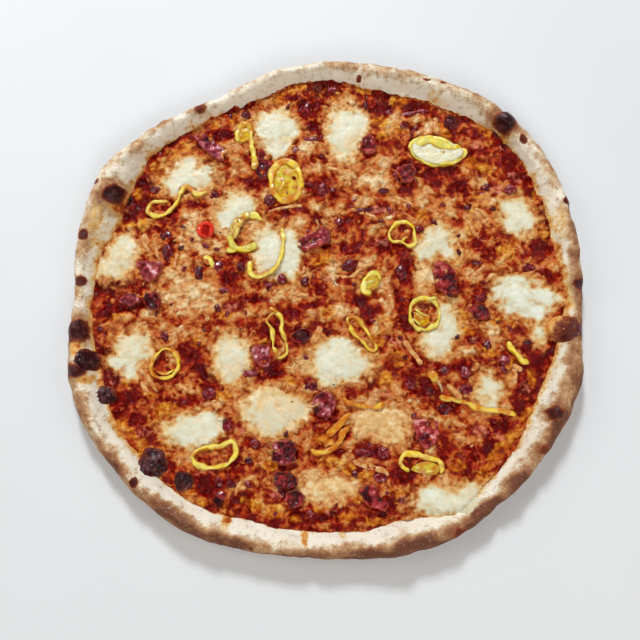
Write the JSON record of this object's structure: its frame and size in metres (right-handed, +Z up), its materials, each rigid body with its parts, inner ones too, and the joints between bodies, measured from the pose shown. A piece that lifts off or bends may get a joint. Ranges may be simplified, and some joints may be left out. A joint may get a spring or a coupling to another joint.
{
  "type": "ham and pepper pizza",
  "caption": "Whole round thin pizza with a puffed, browned rim, tomato sauce, pools of melted mozzarella, pieces of ham and rings of yellow pepper.",
  "frame": {"origin": "middle of the flat underside of the crust, on the surface it lies on", "axes": "+Z straight up out of the topped side; +X to the right and +Y away from the viewer in the picture"},
  "size_m": [0.4202, 0.4164, 0.0282],
  "materials": {
    "baked_crust": "dry, browned and blistered bread",
    "sauce_and_cheese": "oily tomato sauce under melted cheese",
    "mozzarella": "soft satin melted cheese",
    "ham": "moist cooked meat with dark edges",
    "yellow_pepper": "wet, slightly see-through pickled pepper",
    "red_ring": "wet red vegetable ring"
  },
  "bodies": {
    "root": {"crust": "baked_crust", "ham_01": "ham", "ham_02": "ham", "ham_03": "ham", "ham_04": "ham", "ham_05": "ham", "ham_06": "ham", "ham_07": "ham", "ham_08": "ham", "ham_09": "ham", "ham_10": "ham", "ham_11": "ham", "ham_12": "ham", "ham_13": "ham", "ham_14": "ham", "ham_15": "ham", "ham_16": "ham", "ham_17": "ham", "ham_18": "ham", "mozzarella_01": "mozzarella", "mozzarella_02": "mozzarella", "mozzarella_03": "mozzarella", "mozzarella_04": "mozzarella", "mozzarella_05": "mozzarella", "mozzarella_06": "mozzarella", "mozzarella_07": "mozzarella", "mozzarella_08": "mozzarella", "mozzarella_09": "mozzarella", "mozzarella_10": "mozzarella", "mozzarella_11": "mozzarella", "mozzarella_12": "mozzarella", "mozzarella_13": "mozzarella", "mozzarella_14": "mozzarella", "mozzarella_15": "mozzarella", "mozzarella_16": "mozzarella", "mozzarella_17": "mozzarella", "mozzarella_18": "mozzarella", "mozzarella_19": "mozzarella", "mozzarella_20": "mozzarella", "mozzarella_21": "mozzarella", "sauce_cheese_bed": "sauce_and_cheese", "tomato_ring": "red_ring", "yellow_pepper_01": "yellow_pepper", "yellow_pepper_02": "yellow_pepper", "yellow_pepper_03": "yellow_pepper", "yellow_pepper_04": "yellow_pepper", "yellow_pepper_05": "yellow_pepper", "yellow_pepper_06": "yellow_pepper", "yellow_pepper_07": "yellow_pepper", "yellow_pepper_08": "yellow_pepper", "yellow_pepper_09": "yellow_pepper", "yellow_pepper_10": "yellow_pepper", "yellow_pepper_11": "yellow_pepper", "yellow_pepper_12": "yellow_pepper", "yellow_pepper_13": "yellow_pepper", "yellow_pepper_14": "yellow_pepper", "yellow_pepper_15": "yellow_pepper", "yellow_pepper_16": "yellow_pepper", "yellow_pepper_17": "yellow_pepper", "yellow_pepper_18": "yellow_pepper"}
  },
  "joints": []
}
